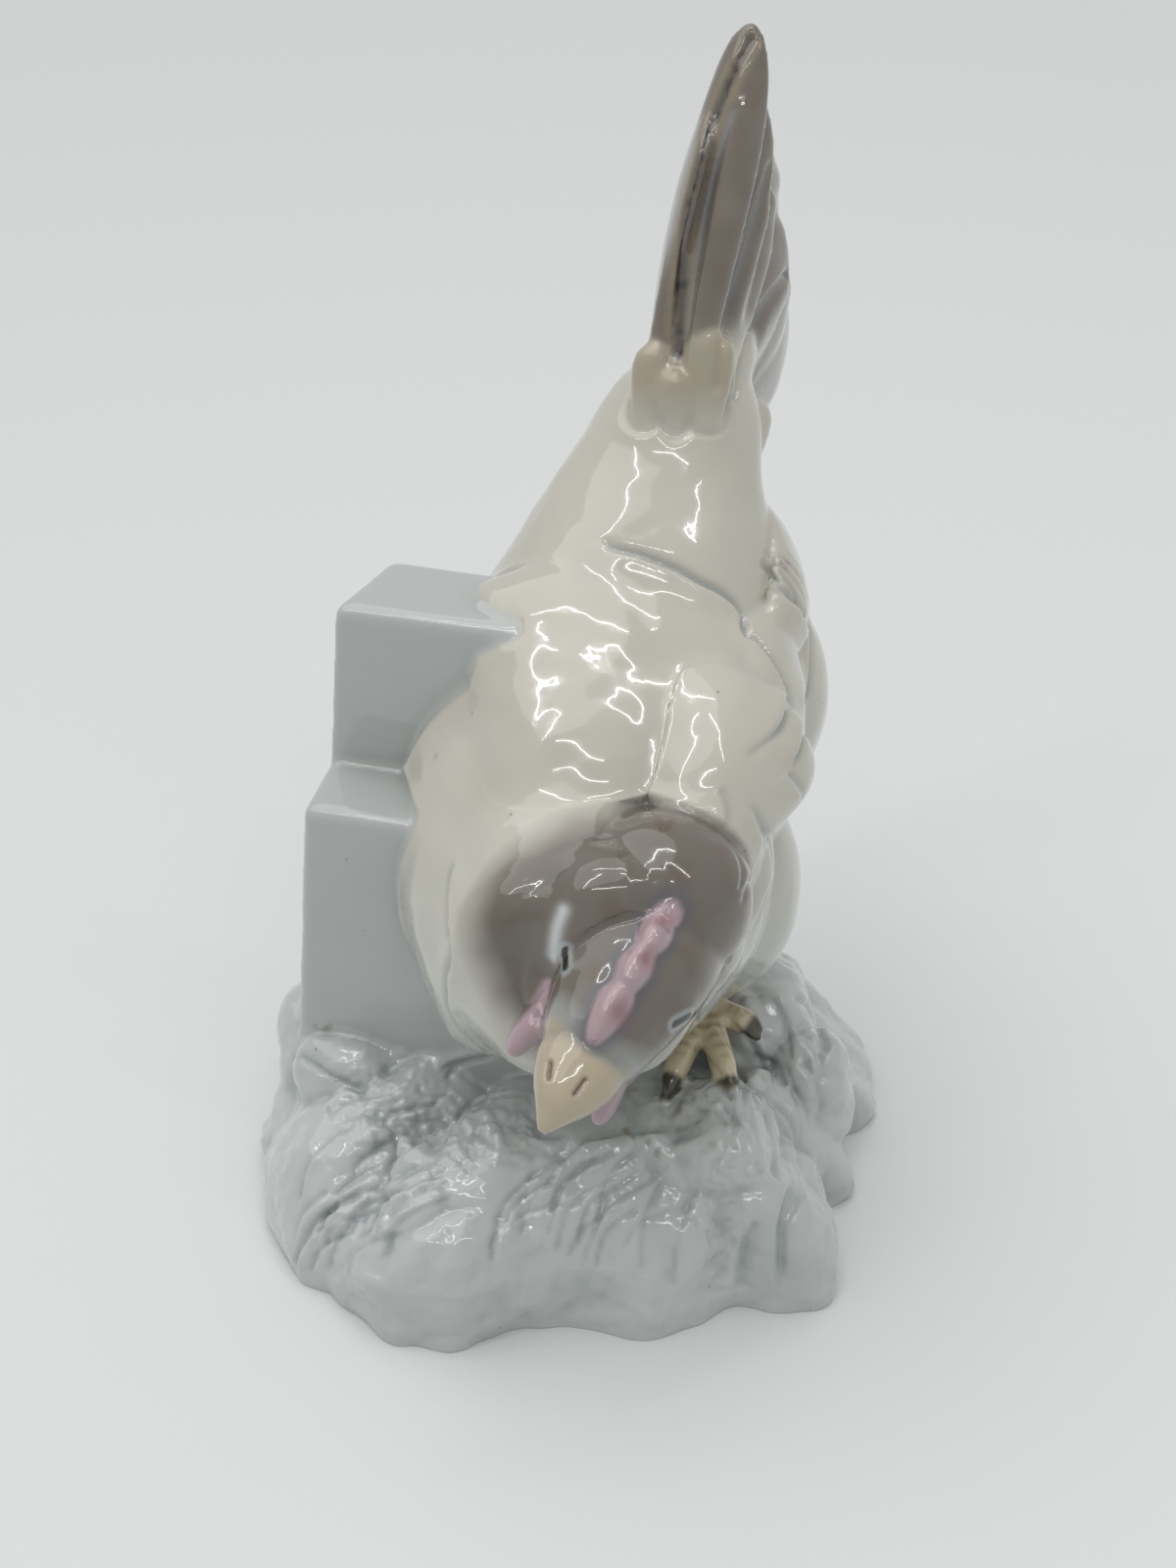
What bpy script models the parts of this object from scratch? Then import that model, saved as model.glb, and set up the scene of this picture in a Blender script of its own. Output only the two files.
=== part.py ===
"""Hen figurine: one glazed porcelain casting of a hen on a rock, leaning on a stepped wall.

Every form is a closed volume: lofts along a spine, bent leaves for feathers, bevelled
blocks. They are joined, and a voxel remesh melts them into the single slip-cast body.
Run with: blender --background --python part.py
Frame: metres, +Z up, the hen faces -Y, the origin is on the table under the rock.
"""

import math

import bmesh
import bpy
from mathutils import Matrix, Vector, noise

MM = 0.001

# Casting
VOXEL = 0.9  # grain of the remesh
SOFTENING_PASSES = 5  # rounds the creases as slip and glaze do
TRIANGLES = 11500  # budget of the finished casting
FOOT_TRIM = 4.0  # how far the rock runs on below the table before it is cut flat
FOOT_RIM = 7.0  # width of the unglazed rim that it stands on
FOOT_RECESS = 2.2  # how far the underside lies above the rim
VENT_RADIUS = 3.0  # firing vent in the underside
VENT_DEPTH = 6.0

# Rock
ROCK_WIDTH = 123.5  # across the outline where it meets the table
ROCK_DEPTH = 118.0
ROCK_TOP = 32.0  # plateau at the hen's feet
ROCK_MIDDLE = Vector((0, 2, 0))
ROCK_GRAIN = 14.0  # distance between its hollows
ROCK_ROUGHNESS = 3.2  # how far they depart from the plain forms
ROCK_SEED = 5  # keeps the hollows in the same places at every build
ROCK_OUTLINE = (  # x and y on the table, stretched to the width and depth; shoulder height
    (-56, -30, 18), (-51, -41, 16), (-42, -49, 14), (-34, -57.5, 16), (-22, -61, 17),
    (-10, -56, 18), (3, -55, 20), (14, -57.5, 19), (23, -54, 18), (30, -49, 20),
    (40, -50.5, 20), (49.5, -46, 18), (50.5, -31, 16), (50, -26, 13), (55, -21, 12),
    (54.5, -11, 12), (53.5, -4.5, 12), (61, 0, 11), (62.5, 10, 9), (61, 20, 7),
    (57, 31, 7), (48, 41, 10), (37, 49, 15), (24, 54, 18), (8, 57, 19), (-10, 54, 20),
    (-28, 52, 20), (-42, 45, 20), (-52, 31, 21), (-55, 14, 21), (-58, -1, 19),
    (-59, -16, 16),
)
BUTTRESSES = (  # x and y at the foot, height, radius
    (-51, -38, 25, 7), (-33, -54, 27, 8), (-21, -57, 24, 6), (-6, -53, 29, 7),
    (13, -54, 29, 8), (27, -49, 29, 6), (41, -47, 30, 8), (52, -20, 24, 7),
    (59, 8, 16, 7), (22, 52, 25, 9), (-12, 52, 28, 10),
    (-40, 43, 30, 9), (-54, 2, 31, 8), (-52, -17, 27, 8),
)
BOULDERS = (  # centre, radii, turn about Z
    ((37, 10, 20), (13, 18, 13), -12), ((48, -6, 16), (9, 12, 12), 20),
    ((-36, 4, 20), (22, 20, 15), 0), ((-44, -10, 22), (10, 8, 11), -30),
    ((30, -30, 22), (12, 14, 11), 10), ((-14, -36, 20), (16, 12, 11), 0),
    ((24, 33, 20), (17, 13, 13), 0), ((-22, 34, 24), (22, 14, 14), 0),
)

# Stepped wall
WALL_TURN = math.radians(-14)  # the wall stands askew to the table's edge
LOWER_CORNER = Vector((-54.5, -5.6, 22.0))  # front left corner, sunk in the rock
LOWER_STEP = Vector((52.0, 36.0, 64.0))  # width, depth, height
UPPER_CORNER = Vector((-46.5, 9.5, 75.0))
UPPER_STEP = Vector((40.0, 20.0, 45.0))
UPPER_SPLAY = 5.0  # the upper block narrows to the rear
WALL_DRAFT = 0.09  # inward lean of the left faces
WALL_EDGE = 2.2  # radius of the worn edges

# Hen
TRUNK = (  # stations of the spine: x, y, z, half width, rise and drop across it
    (25.5, 50, 149, 9, 6, 5),
    (23.5, 46, 143, 14, 10, 9),
    (20.6, 42, 134, 17, 15, 15),
    (17.9, 38, 123, 21.5, 21, 22),
    (13.5, 30, 106, 28, 28, 30),
    (7.5, 16, 89, 34.5, 32, 33),
    (3.7, -1, 75, 34, 32, 31),
    (2.5, -20, 70, 31, 27, 27),
    (4.0, -34, 71, 25, 21, 21),
)
HEAD_CENTRE = Vector((10.4, -52.0, 80.5))  # between the eyes
HEAD_FORWARD = Vector((-0.39, -0.91, -0.10)).normalized()
HEAD_LEFT = Vector((0.877, -0.275, -0.393)).normalized()
HEAD_WIDTH = 26.0
HOOD_RADIUS = 17.0  # the ruffled feathers behind the head
BEAK_REACH = 28.0  # from between the eyes to the tip
COMB_THICKNESS = 5.6
COMB_HEIGHT = 7.8
WATTLE_LENGTH = 12.0
WATTLE_WIDTH = 11.0
LEFT_HIP = (27.5, -3, 40)
RIGHT_HIP = (-10, 14, 40)  # drawn up behind the breast
TAIL_ROOT = Vector((22.5, 43.0, 144.0))
TAIL_LEAN = Vector((0.1, 0.08, 0.99)).normalized()
TAIL_BACKWARD = Vector((0.42, 0.91, 0.0)).normalized()
TAIL_LENGTH = 66.0  # of the ridge feathers
TAIL_FEATHERS = (  # root and tip above and behind the tail's root, width, offset, opening
    (12, -7, 66, 9, 8, 2.4, 1.0),
    (4, -1, 54, 13, 12, 2.4, 0.5),
    (3, 0, 39, 18, 15, 2.6, 0.4),
    (2, 2, 24, 33, 20, 3.0, 0.4),
    (0, 5, 12, 40, 18, 3.2, 0.4),
    (-2, 9, -2, 46, 24, 3.2, 0.3),
    (-4, 8, -14, 40, 18, 3.0, 0.3),
    (-6, 6, -24, 34, 18, 2.8, 0.2),
)
FEATHER_THICKNESS = 4.5
TOE = 2.8  # radius of a toe
TOE_LENGTH = 25.0
FLIGHT_FEATHERS = 4


def spline(rows, steps):
    """Catmull-Rom curve through rows of numbers, with this many steps to each span."""
    ends = [rows[0]] + list(rows) + [rows[-1]]
    found = []
    for i in range(1, len(ends) - 2):
        for step in range(steps):
            t = step / steps
            found.append(
                [
                    0.5 * (2 * b + (c - a) * t + (2 * a - 5 * b + 4 * c - d) * t * t
                           + (3 * b - a - 3 * c + d) * t ** 3)
                    for a, b, c, d in zip(*ends[i - 1:i + 3])
                ]
            )
    return found + [list(rows[-1])]


def loft(forms, stations, up, sides=32, steps=6):
    """Adds a closed skin over stations (x, y, z, half width, rise, drop), given in mm."""
    rows = spline(stations, steps)
    centres = [Vector(row[:3]) for row in rows]
    rings = []
    for i, row in enumerate(rows):
        along = centres[min(i + 1, len(rows) - 1)] - centres[max(i - 1, 0)]
        side = Vector(up).cross(along).normalized()
        rise = along.cross(side).normalized()
        ring = []
        for k in range(sides):
            angle = 2 * math.pi * k / sides
            reach = max(row[4 if math.sin(angle) > 0 else 5], 0.05) * math.sin(angle)
            width = max(row[3], 0.05) * math.cos(angle)
            ring.append(forms.verts.new((centres[i] + side * width + rise * reach) * MM))
        rings.append(ring)
    for first, second in zip(rings, rings[1:]):
        for k in range(sides):
            j = (k + 1) % sides
            forms.faces.new((first[k], first[j], second[j], second[k]))
    forms.faces.new(list(reversed(rings[0])))
    forms.faces.new(rings[-1])


def absorb(forms, block):
    """Adds one block's faces to the forms."""
    mesh = bpy.data.meshes.new("block")
    block.to_mesh(mesh)
    block.free()
    forms.from_mesh(mesh)
    bpy.data.meshes.remove(mesh)


def ball(forms, centre, radii, turn=(0, 0, 0)):
    """Adds an ellipsoid: centre and radii in mm, turn in degrees about X, then Y, then Z."""
    spin = Matrix.Rotation(math.radians(turn[2]), 4, "Z")
    roll = Matrix.Rotation(math.radians(turn[1]), 4, "Y")
    pitch = Matrix.Rotation(math.radians(turn[0]), 4, "X")
    place = Matrix.Translation(Vector(centre) * MM) @ spin @ roll @ pitch
    block = bmesh.new()
    bmesh.ops.create_uvsphere(block, u_segments=32, v_segments=20, radius=MM)
    block.transform(place @ Matrix.Diagonal((*radii, 1)))
    absorb(forms, block)


def leaf(forms, root, tip, face, width, thick, bow=0.0, root_width=0.55, round_tip=0.75):
    """Adds a feather: a bowed blade from root to tip whose flat side looks along face."""
    root, tip, face = Vector(root), Vector(tip), Vector(face).normalized()
    shape = (  # share of the length, of the width and of the thickness
        (0.0, root_width * 0.6, 0.7),
        (0.05, root_width, 1.0),
        (0.35, 0.5 + 0.5 * root_width, 1.0),
        (0.65, 1.0, 0.95),
        (0.85, round_tip + 0.1, 0.85),
        (0.95, round_tip * 0.62, 0.65),
        (1.0, round_tip * 0.2, 0.3),
    )
    rows = []
    for share, wide, deep in shape:
        at = root.lerp(tip, share) + face * bow * math.sin(math.pi * share)
        rows.append((*at, width / 2 * wide, thick / 2 * deep, thick / 2 * deep))
    loft(forms, rows, face, sides=16)


def around(points, steps):
    """The closed smooth curve through flat points."""
    padded = points[-2:] + points + points[:2]
    curve = spline([list(point) for point in padded], steps)
    return [Vector(point) for point in curve[2 * steps:-steps - 1]]


def prism(rings):
    """Skins equal rings of points, in mm, from the bottom up, with both ends closed."""
    block = bmesh.new()
    made = [[block.verts.new(point * MM) for point in ring] for ring in rings]
    count = len(rings[0])
    for first, second in zip(made, made[1:]):
        for k in range(count):
            j = (k + 1) % count
            block.faces.new((first[k], first[j], second[j], second[k]))
    block.faces.new(list(reversed(made[0])))
    block.faces.new(made[-1])
    return block


def stretched(x, y, level):
    """A point of the rock's plan, stretched to the rock's width and depth."""
    wide, deep = (
        max(point[axis] for point in ROCK_OUTLINE) - min(point[axis] for point in ROCK_OUTLINE)
        for axis in (0, 1)
    )
    return Vector((x * ROCK_WIDTH / wide, y * ROCK_DEPTH / deep, level))


def ground_outline():
    """Where the rock meets the table, with the height at which it turns inwards."""
    return around([stretched(*point) for point in ROCK_OUTLINE], 4)


def rock(forms):
    """The ground: a plateau with bulging sides, buttresses and boulders, weathered."""
    stone = bmesh.new()
    rings = []
    for inward, share in (
        (1.0, None), (1.0, 0.0), (1.005, 0.2), (1.0, 0.4), (0.975, 0.75), (0.93, 1.0),
        (0.87, 1.2), (0.8, 1.35), (0.7, 1.5), (0.58, 1.6), (0.45, 1.7), (0.25, 1.75),
    ):
        ring = []
        for x, y, shoulder in ground_outline():
            at = ROCK_MIDDLE.lerp(Vector((x, y, 0)), inward)
            level = -FOOT_TRIM if share is None else min(shoulder * share, ROCK_TOP - 1.5)
            ring.append(Vector((at.x, at.y, level)))
        rings.append(ring)
    absorb(stone, prism(rings))
    for x, y, height, radius in BUTTRESSES:
        foot = stretched(x, y, 0)
        rows = []
        for share, size in ((-0.15, 1.0), (0.3, 1.0), (0.7, 0.85), (1.0, 0.45)):
            at = foot.lerp(ROCK_MIDDLE, 0.1 + 0.22 * max(share, 0) ** 2)
            rows.append((at.x, at.y, height * share, radius * size, radius * size, radius))
        loft(stone, rows, (-y, x, 0))
    for centre, radii, turn in BOULDERS:
        ball(stone, centre, radii, (0, 0, turn))
    stone.normal_update()
    noise.seed_set(ROCK_SEED)
    for vert in stone.verts:
        grain = vert.co / (ROCK_GRAIN * MM)
        sway = noise.noise_vector(grain * 0.6) * 0.5 + noise.noise_vector(grain) * 0.5
        crease = abs(noise.noise(grain * 1.3 + Vector((7, 0, 0))))
        vert.co += (sway + vert.normal * crease) * ROCK_ROUGHNESS * MM
    absorb(forms, stone)


def step(forms, corner, size, angle, splay):
    """One course of the wall: a block with draft and worn edges, turned by an angle."""
    turn = Matrix.Rotation(angle, 4, "Z")
    block = bmesh.new()
    bmesh.ops.create_cube(block, size=1.0)
    for vert in block.verts:
        left, top, rear = vert.co.x < 0, vert.co.z > 0, vert.co.y > 0
        local = Matrix.Diagonal(size) @ (vert.co + Vector((0.5, 0.5, 0.5)))
        if left and top:
            local.x += WALL_DRAFT * size.z
        if left and rear:
            local.x += splay
        vert.co = (turn @ local + corner) * MM
    bmesh.ops.bevel(
        block, geom=block.edges[:], offset=WALL_EDGE * MM, segments=3, profile=0.5,
        affect="EDGES",
    )
    absorb(forms, block)


def wall(forms):
    """The stepped wall behind the hen's right flank."""
    step(forms, LOWER_CORNER, LOWER_STEP, WALL_TURN, 0.0)
    step(forms, UPPER_CORNER, UPPER_STEP, WALL_TURN, UPPER_SPLAY)


def body(forms):
    """The trunk, a loft down the spine, with the fluff under the tail and the breast."""
    loft(forms, TRUNK, (0, -0.6, 0.8), sides=48)
    ball(forms, (12, 22, 78), (30, 30, 34), (-30, 0, 6))
    ball(forms, (4, -10, 68), (34, 27, 28), (10, 0, 6))
    ball(forms, (7, 8, 44), (26, 22, 20), (0, 0, 6))


def neck(forms):
    """The hackle: a short thick neck whose collar stands open round the head."""
    loft(forms, (
        (3, -14, 72, 31, 27, 24),
        (4, -25, 72, 28, 27, 24),
        (5, -35, 73, 26, 26, 23),
        (6, -42, 73, 22, 21, 20),
        (8, -48, 74, 15, 14, 14),
        (9, -51, 76, 8, 8, 8),
    ), (0.1, 0, 1), sides=48)
    ball(forms, (6, -35, 76), (26.5, 13, 25), (18, 0, 8))


def head(forms):
    """Skull, beak, comb and wattles, on the head's own axes."""
    up = HEAD_FORWARD.cross(HEAD_LEFT)

    def at(forward, left, rise):
        return HEAD_CENTRE + HEAD_FORWARD * forward + HEAD_LEFT * left + up * rise

    half = HEAD_WIDTH / 2
    loft(forms, (
        (*at(-27, 0, -6), 8, 8, 8),
        (*at(-20, 0, -4), half * 0.95, 12, 12),
        (*at(-11, 0, -1), half * 1.03, 13, 14),
        (*at(-3, 0, 0), half * 0.98, 11.5, 13),
        (*at(5, 0, -2), half * 0.84, 9.5, 11),
        (*at(12, 0, -4), half * 0.68, 7.5, 8),
        (*at(17, 0, -5), half * 0.58, 6, 6),
        (*at(22, 0, -6), half * 0.42, 4.4, 4.6),
        (*at(BEAK_REACH - 3, 0, -7.5), half * 0.24, 2.8, 2.8),
        (*at(BEAK_REACH, 0, -9), 1.0, 1.0, 1.0),
    ), up, sides=24)
    ball(forms, at(-20, -3, 2), (HOOD_RADIUS, HOOD_RADIUS * 0.95, HOOD_RADIUS * 0.95))
    for forward, rise in ((-10, 6.5), (-4, 6), (2.5, 3.5), (8.5, 0)):
        leaf(forms, at(forward, -0.5, rise), at(forward - 0.5, -0.5, rise + COMB_HEIGHT),
             HEAD_LEFT, COMB_HEIGHT * 1.15, COMB_THICKNESS, root_width=0.95, round_tip=0.9)
    for side in (-1, 1):
        for forward, drop, share in ((6, -8, 1.0), (0, -6, 0.8)):
            leaf(forms, at(forward, side * 9, drop),
                 at(forward + 1, side * 12, drop - WATTLE_LENGTH * share), HEAD_LEFT,
                 WATTLE_WIDTH, 4.6, root_width=0.6, round_tip=0.85)


def plumage(forms):
    """Lobes of feathers that overlap down the back, over the wing and round the breast."""
    leaf(forms, (0, -19, 88), (13, 20, 116), (0.1, -0.6, 0.75), 54, 25, bow=3, round_tip=0.9)
    leaf(forms, (20, -26, 88), (35, 3, 104), (0.6, -0.5, 0.6), 32, 16, bow=4, round_tip=0.9)
    ball(forms, (33, 10, 92), (12, 25, 21), (42, 0, -8))
    for centre, radii in (
        ((26, -25, 86), (5.5, 6, 10)), ((29.5, -19, 86), (5.5, 8, 12)),
        ((31.5, -11, 77), (7, 11, 14)), ((-21, -12, 72), (9, 16, 18)),
        ((-15, -28, 62), (9, 12, 15)),
    ):
        ball(forms, centre, radii, (15, 0, 8))


def wing(forms):
    """The flight feathers of the left wing, stacked under its coverts."""
    for k in range(FLIGHT_FEATHERS):
        leaf(forms, (36 - 0.5 * k, 9 + k, 104 - 3 * k), (36.5, 54 - 2 * k, 117 - 6 * k),
             (0.92, -0.15, 0.35), 20, 4, bow=7.5 - 0.9 * k)
    ball(forms, (38, 34, 86), (13.5, 18, 22), (10, 0, 10))


def leg(forms, side, hip, reach):
    """Feathered thigh, shank and three toes; side is 1 for the hen's left."""
    hip = Vector(hip)
    ball(forms, hip + Vector((side * 1.5, 8, 20)), (16.5, 21, 24), (12, 0, 0))
    loft(forms, (
        (*(hip + Vector((-side, 6, 10))), 8, 8, 8),
        (*(hip + Vector((-side * 0.5, 2, 2))), 5, 5, 5),
        (hip.x, hip.y, ROCK_TOP + 4, 4, 4, 4),
        (hip.x, hip.y, ROCK_TOP - 3, 4, 4, 4),
    ), (0, -1, 0))
    for spread, length in ((-20, reach), (9, reach), (36, reach * 0.8)):
        way = Matrix.Rotation(math.radians(spread), 3, "Z") @ Vector((0.0, -1.0, 0.0))
        start = Vector((hip.x, hip.y, ROCK_TOP + 3))
        loft(forms, (
            (*start, TOE, TOE, 3),
            (*(start + way * length * 0.4), TOE * 0.95, TOE * 0.95, 3),
            (*(start + way * length * 0.75 - Vector((0, 0, 0.5))), TOE * 0.9, TOE * 0.8, 3),
            (*(start + way * length - Vector((0, 0, 2.5))), 0.9, 0.9, 1.5),
        ), (0, 0, 1))


def tail(forms):
    """The fan: a ridge pair with a groove between, then shingled pairs that lean back."""
    outward = Vector((TAIL_BACKWARD.y, -TAIL_BACKWARD.x, 0))
    grow = TAIL_LENGTH / TAIL_FEATHERS[0][2]

    def at(above, behind, beside):
        return TAIL_ROOT + (TAIL_LEAN * above + TAIL_BACKWARD * behind) * grow + outward * beside

    for low, near, high, far, width, offset, opening in TAIL_FEATHERS:
        for side in (-1, 1):
            leaf(forms, at(low, near, side * (offset + 1.5)), at(high, far, side * offset * 0.8),
                 outward * side - TAIL_BACKWARD * opening, width * grow, FEATHER_THICKNESS,
                 bow=1.5, root_width=0.6)
    leaf(forms, at(6, -2, -5.4), at(54, 4, -3.5), -outward - TAIL_BACKWARD * 0.5, 18 * grow,
         FEATHER_THICKNESS, bow=1.5, root_width=0.6)
    leaf(forms, at(2, 1, 0), at(62, 10.5, 0), outward, 15 * grow, FEATHER_THICKNESS * 1.5)
    fan_turn = math.degrees(math.atan2(TAIL_BACKWARD.y, TAIL_BACKWARD.x)) - 90
    ball(forms, TAIL_ROOT + TAIL_LEAN * 20 + TAIL_BACKWARD * 18, (4, 19, 25), (-20, 0, fan_turn))
    ball(forms, TAIL_ROOT + Vector((3, 5, 6)), (9, 13, 16), (-20, 0, -25))
    for root, tip, width in (
        ((15.5, 38, 141), (18.0, 42, 157), 8), ((20, 37, 140), (20.5, 37.5, 153.5), 7),
        ((25.5, 37, 142), (26.5, 40, 160.5), 9), ((33, 44, 128), (36.5, 50, 142), 8),
    ):
        leaf(forms, root, tip, (0.1, -0.8, 0.5), width, 7, root_width=0.8)


def hollow_foot(thing, middle):
    """Cuts the foot flat, sinks the underside within its rim and drills the vent."""
    cutters = bpy.data.collections.new("cutters")
    bpy.context.scene.collection.children.link(cutters)

    def cut(name, outline, low, high):
        rings = [[Vector((x, y, level)) for x, y in outline] for level in (low, high)]
        block = prism(rings)
        mesh = bpy.data.meshes.new(name)
        block.to_mesh(mesh)
        block.free()
        cutter = bpy.data.objects.new(name, mesh)
        cutter.location = -middle
        cutters.objects.link(cutter)
        cutter.hide_render = True
        cutter.display_type = "WIRE"
        made = thing.modifiers.new(name, "BOOLEAN")
        made.operation = "DIFFERENCE"
        made.object = cutter

    def circle(radius, sides):
        turns = [2 * math.pi * k / sides for k in range(sides)]
        return [(radius * math.cos(a), radius * math.sin(a)) for a in turns]

    inner = []
    for x, y, _ in ground_outline():
        out = Vector((x, y, 0)) - ROCK_MIDDLE
        at = ROCK_MIDDLE + out * (1 - FOOT_RIM / out.length)
        inner.append((at.x, at.y))
    cut("table", circle(3 * LOWER_STEP.x, 16), -3 * FOOT_TRIM, 0.0)
    cut("recess", inner[::2], -FOOT_TRIM, FOOT_RECESS)
    cut("vent", circle(VENT_RADIUS, 24), 0.0, FOOT_RECESS + VENT_DEPTH)


def evaluated(thing):
    """The mesh that an object's modifiers give."""
    bpy.context.view_layer.update()
    return thing.evaluated_get(bpy.context.evaluated_depsgraph_get()).to_mesh()


def porcelain():
    """The glaze's average colour: ivory over a cold white body."""
    glaze = bpy.data.materials.new("glazed porcelain")
    glaze.use_nodes = True
    surface = glaze.node_tree.nodes["Principled BSDF"]
    surface.inputs["Base Color"].default_value = (0.5, 0.48, 0.42, 1)
    surface.inputs["Roughness"].default_value = 0.12
    surface.inputs["Metallic"].default_value = 0.0
    return glaze


def assemble():
    """Joins the volumes, melts them together and trims the casting."""
    forms = bmesh.new()
    rock(forms)
    wall(forms)
    body(forms)
    neck(forms)
    head(forms)
    plumage(forms)
    wing(forms)
    leg(forms, 1, LEFT_HIP, TOE_LENGTH)
    leg(forms, -1, RIGHT_HIP, TOE_LENGTH * 0.88)
    tail(forms)
    bmesh.ops.recalc_face_normals(forms, faces=forms.faces[:])
    mesh = bpy.data.meshes.new("hen_figurine")
    forms.to_mesh(mesh)
    forms.free()
    casting = bpy.data.objects.new("hen_figurine", mesh)
    figurine = bpy.data.collections.new("hen figurine")
    bpy.context.scene.collection.children.link(figurine)
    figurine.objects.link(casting)
    melt = casting.modifiers.new("melt", "REMESH")
    melt.mode = "VOXEL"
    melt.voxel_size = VOXEL * MM
    soften = casting.modifiers.new("soften", "SMOOTH")
    soften.iterations = SOFTENING_PASSES
    dense = evaluated(casting)
    dense.calc_loop_triangles()
    thin = casting.modifiers.new("thin", "DECIMATE")
    thin.ratio = TRIANGLES / len(dense.loop_triangles)
    xs = [vert.co.x for vert in dense.vertices]
    ys = [vert.co.y for vert in dense.vertices]
    middle = Vector(((min(xs) + max(xs)) / 2, (min(ys) + max(ys)) / 2, 0))
    mesh.transform(Matrix.Translation(-middle))
    hollow_foot(casting, middle)
    mesh.materials.append(porcelain())


def main():
    for old in list(bpy.data.objects):
        bpy.data.objects.remove(old)
    assemble()


main()
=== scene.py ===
# %% [markdown]
# A glazed porcelain hen on a rock, beside a stepped wall. The real piece is one slip casting
# with painted colours under a clear glaze. Here it is sketched as closed forms that overlap,
# melted into one smooth skin, worked with tools like clay, and then painted and glazed.
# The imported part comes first: it fixes the size and the place of everything below.

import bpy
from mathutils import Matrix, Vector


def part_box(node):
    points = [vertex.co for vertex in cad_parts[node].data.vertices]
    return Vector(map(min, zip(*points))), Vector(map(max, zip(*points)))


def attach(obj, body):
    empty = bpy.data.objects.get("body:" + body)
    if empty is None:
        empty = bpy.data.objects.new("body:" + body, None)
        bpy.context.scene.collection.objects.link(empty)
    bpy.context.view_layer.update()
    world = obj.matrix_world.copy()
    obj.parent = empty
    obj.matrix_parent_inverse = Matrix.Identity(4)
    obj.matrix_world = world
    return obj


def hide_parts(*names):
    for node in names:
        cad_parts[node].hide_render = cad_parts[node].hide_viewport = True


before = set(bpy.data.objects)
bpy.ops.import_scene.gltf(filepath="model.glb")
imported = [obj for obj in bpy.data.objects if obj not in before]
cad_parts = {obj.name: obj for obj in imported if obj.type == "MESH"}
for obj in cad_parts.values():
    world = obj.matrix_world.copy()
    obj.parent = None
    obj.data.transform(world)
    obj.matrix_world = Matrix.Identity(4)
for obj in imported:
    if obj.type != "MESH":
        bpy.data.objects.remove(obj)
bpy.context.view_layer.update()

# %% Tools
import math
import random

import bmesh
import bpy
import numpy as np
from mathutils import Matrix, Vector, noise
from mathutils.bvhtree import BVHTree

MM = 0.001
scene = bpy.context.scene
scene.view_settings.view_transform = "Standard"
noise.seed_set(5)  # the same hollows and clouds at every run

# %% [markdown]
# The camera is a phone held about half a metre off, looking down by 35 degrees. Its place was
# worked out from the wall's edges, which are level and upright on the real piece. All forms
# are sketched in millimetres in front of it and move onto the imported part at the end.

# %% Camera
PICTURE = (1200, 1600)
FOCUS = 2400.0  # focal length in picture pixels
TILT = math.radians(35)
EYE = Vector((4.2, -359.9, 338.8))


def sight(u, v):
    """The direction in which a point of the picture is seen."""
    right = (u - PICTURE[0] / 2) / FOCUS
    up = (PICTURE[1] / 2 - v) / FOCUS
    return Vector((right, math.cos(TILT) + up * math.sin(TILT),
                   -math.sin(TILT) + up * math.cos(TILT))).normalized()


camera = bpy.data.objects.new("camera", bpy.data.cameras.new("camera"))
scene.collection.objects.link(camera)
scene.camera = camera
camera.data.sensor_fit = "VERTICAL"
camera.data.sensor_height = 36.0
camera.data.lens = 36.0 * FOCUS / PICTURE[1]
camera.data.clip_start = 0.01
camera.location = EYE * MM
camera.rotation_euler = (math.pi / 2 - TILT, 0, 0)
print("camera lens", camera.data.lens)

# %% [markdown]
# Three kinds of form make the whole figure: a loft along a spine for body and neck, a ball for
# muscle and boulder, and a leaf for a feather. Each could be modelled by hand, but as short
# functions they stay closed, and closed forms melt together without holes.

# %% Forms
groups = {}  # every named part of the figure, as faces that overlap the others


def spline(rows, steps):
    """Catmull-Rom curve through rows of numbers."""
    ends = [rows[0]] + list(rows) + [rows[-1]]
    found = []
    for i in range(1, len(ends) - 2):
        for step in range(steps):
            t = step / steps
            found.append([
                0.5 * (2 * b + (c - a) * t + (2 * a - 5 * b + 4 * c - d) * t * t
                       + (3 * b - a - 3 * c + d) * t ** 3)
                for a, b, c, d in zip(*ends[i - 1:i + 3])
            ])
    return found + [list(rows[-1])]


def group(name):
    """Starts a named part of the figure, or goes on with it."""
    return groups.setdefault(name, bmesh.new())


def absorb(forms, block):
    """Adds one block's faces to the forms."""
    mesh = bpy.data.meshes.new("block")
    block.to_mesh(mesh)
    forms.from_mesh(mesh)
    bpy.data.meshes.remove(mesh)


def skin(forms, rings):
    """Joins equal rings of points and closes both ends."""
    made = [[forms.verts.new(Vector(point) * MM) for point in ring] for ring in rings]
    count = len(rings[0])
    for first, second in zip(made, made[1:]):
        for k in range(count):
            j = (k + 1) % count
            forms.faces.new((first[k], first[j], second[j], second[k]))
    forms.faces.new(list(reversed(made[0])))
    forms.faces.new(made[-1])


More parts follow.
